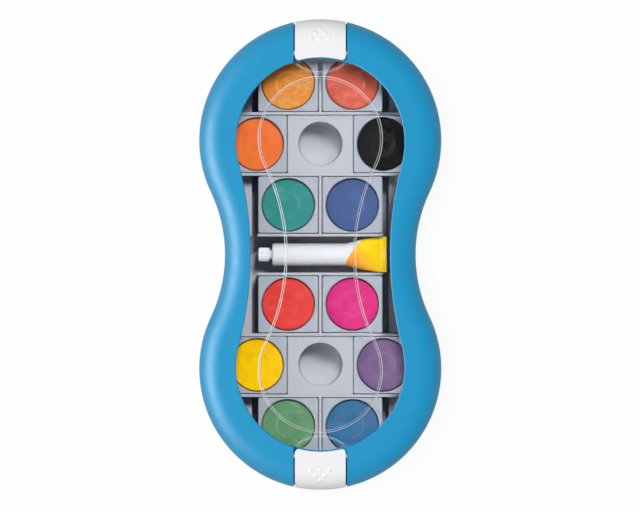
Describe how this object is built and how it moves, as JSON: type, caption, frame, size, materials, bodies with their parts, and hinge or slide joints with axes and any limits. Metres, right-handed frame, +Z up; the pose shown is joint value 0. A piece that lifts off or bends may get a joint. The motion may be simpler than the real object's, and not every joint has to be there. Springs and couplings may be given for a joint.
{
  "type": "gouache paint set box",
  "caption": "Flat figure-eight paint box with lift-out pans, a tube of white, and a lift-off windowed lid held by swing-up end clips.",
  "frame": {"origin": "middle of the box's footprint, on the surface it stands on", "axes": "+Y along the box towards the ochre and vermilion pans, +X to the right seen from above, +Z up"},
  "size_m": [0.1386, 0.2692, 0.0365],
  "materials": {
    "case_blue": "satin blue moulded plastic",
    "tray_grey": "fine matt grey moulded plastic",
    "pan_grey": "fine matt grey moulded plastic",
    "window_clear": "clear polished plastic",
    "clip_white": "satin white moulded plastic",
    "tube_metal": "white enamel with a yellow band at the folded end",
    "cap_white": "satin white moulded plastic",
    "paint_white": "moist opaque white paint",
    "paint_ochre": "pressed dry gouache, eggshell",
    "paint_vermilion": "pressed dry gouache, eggshell",
    "paint_orange": "pressed dry gouache, eggshell",
    "paint_black": "pressed dry gouache, eggshell",
    "paint_teal": "pressed dry gouache, eggshell",
    "paint_ultramarine": "pressed dry gouache, eggshell",
    "paint_red": "pressed dry gouache, eggshell",
    "paint_magenta": "pressed dry gouache, eggshell",
    "paint_yellow": "pressed dry gouache, eggshell",
    "paint_violet": "pressed dry gouache, eggshell",
    "paint_green": "pressed dry gouache, eggshell",
    "paint_cyan": "pressed dry gouache, eggshell"
  },
  "bodies": {
    "case": {"base_shell": "case_blue", "paint_tray": "tray_grey"},
    "lid": {"lid_frame": "case_blue", "lid_window": "window_clear"},
    "clip_north": {"clip_north": "clip_white"},
    "clip_south": {"clip_south": "clip_white"},
    "pan_ochre": {"pan_ochre": "pan_grey", "paint_ochre": "paint_ochre"},
    "pan_vermilion": {"pan_vermilion": "pan_grey", "paint_vermilion": "paint_vermilion"},
    "pan_orange": {"pan_orange": "pan_grey", "paint_orange": "paint_orange"},
    "pan_black": {"pan_black": "pan_grey", "paint_black": "paint_black"},
    "pan_teal": {"pan_teal": "pan_grey", "paint_teal": "paint_teal"},
    "pan_ultramarine": {"pan_ultramarine": "pan_grey", "paint_ultramarine": "paint_ultramarine"},
    "pan_red": {"pan_red": "pan_grey", "paint_red": "paint_red"},
    "pan_magenta": {"pan_magenta": "pan_grey", "paint_magenta": "paint_magenta"},
    "pan_yellow": {"pan_yellow": "pan_grey", "paint_yellow": "paint_yellow"},
    "pan_violet": {"pan_violet": "pan_grey", "paint_violet": "paint_violet"},
    "pan_green": {"pan_green": "pan_grey", "paint_green": "paint_green"},
    "pan_cyan": {"pan_cyan": "pan_grey", "paint_cyan": "paint_cyan"},
    "tube": {"tube_body": "tube_metal", "tube_paint": "paint_white"},
    "tube_cap": {"tube_cap": "cap_white"}
  },
  "joints": [
    {"name": "lid_lift", "type": "slide", "parent": "case", "child": "lid", "axis": [0, 0, 1], "range_m": [0, 0.045]},
    {"name": "clip_north_swing", "type": "hinge", "parent": "lid", "child": "clip_north", "pos_m": [0, 0.11442, 0.0334], "axis": [1, 0, 0], "range_deg": [0, 90]},
    {"name": "clip_south_swing", "type": "hinge", "parent": "lid", "child": "clip_south", "pos_m": [0, -0.11442, 0.0334], "axis": [-1, 0, 0], "range_deg": [0, 90]},
    {"name": "pan_ochre_lift", "type": "slide", "parent": "case", "child": "pan_ochre", "axis": [0, 0, 1], "range_m": [0, 0.009]},
    {"name": "pan_vermilion_lift", "type": "slide", "parent": "case", "child": "pan_vermilion", "axis": [0, 0, 1], "range_m": [0, 0.009]},
    {"name": "pan_orange_lift", "type": "slide", "parent": "case", "child": "pan_orange", "axis": [0, 0, 1], "range_m": [0, 0.009]},
    {"name": "pan_black_lift", "type": "slide", "parent": "case", "child": "pan_black", "axis": [0, 0, 1], "range_m": [0, 0.009]},
    {"name": "pan_teal_lift", "type": "slide", "parent": "case", "child": "pan_teal", "axis": [0, 0, 1], "range_m": [0, 0.009]},
    {"name": "pan_ultramarine_lift", "type": "slide", "parent": "case", "child": "pan_ultramarine", "axis": [0, 0, 1], "range_m": [0, 0.009]},
    {"name": "pan_red_lift", "type": "slide", "parent": "case", "child": "pan_red", "axis": [0, 0, 1], "range_m": [0, 0.009]},
    {"name": "pan_magenta_lift", "type": "slide", "parent": "case", "child": "pan_magenta", "axis": [0, 0, 1], "range_m": [0, 0.009]},
    {"name": "pan_yellow_lift", "type": "slide", "parent": "case", "child": "pan_yellow", "axis": [0, 0, 1], "range_m": [0, 0.009]},
    {"name": "pan_violet_lift", "type": "slide", "parent": "case", "child": "pan_violet", "axis": [0, 0, 1], "range_m": [0, 0.009]},
    {"name": "pan_green_lift", "type": "slide", "parent": "case", "child": "pan_green", "axis": [0, 0, 1], "range_m": [0, 0.009]},
    {"name": "pan_cyan_lift", "type": "slide", "parent": "case", "child": "pan_cyan", "axis": [0, 0, 1], "range_m": [0, 0.009]},
    {"name": "tube_lift", "type": "slide", "parent": "case", "child": "tube", "axis": [0, 0, 1], "range_m": [0, 0.009]},
    {"name": "tube_cap_turn", "type": "hinge", "parent": "tube", "child": "tube_cap", "pos_m": [-0.0325, 0, 0.0114], "axis": [-1, 0, 0], "range_deg": [0, 540]}
  ]
}
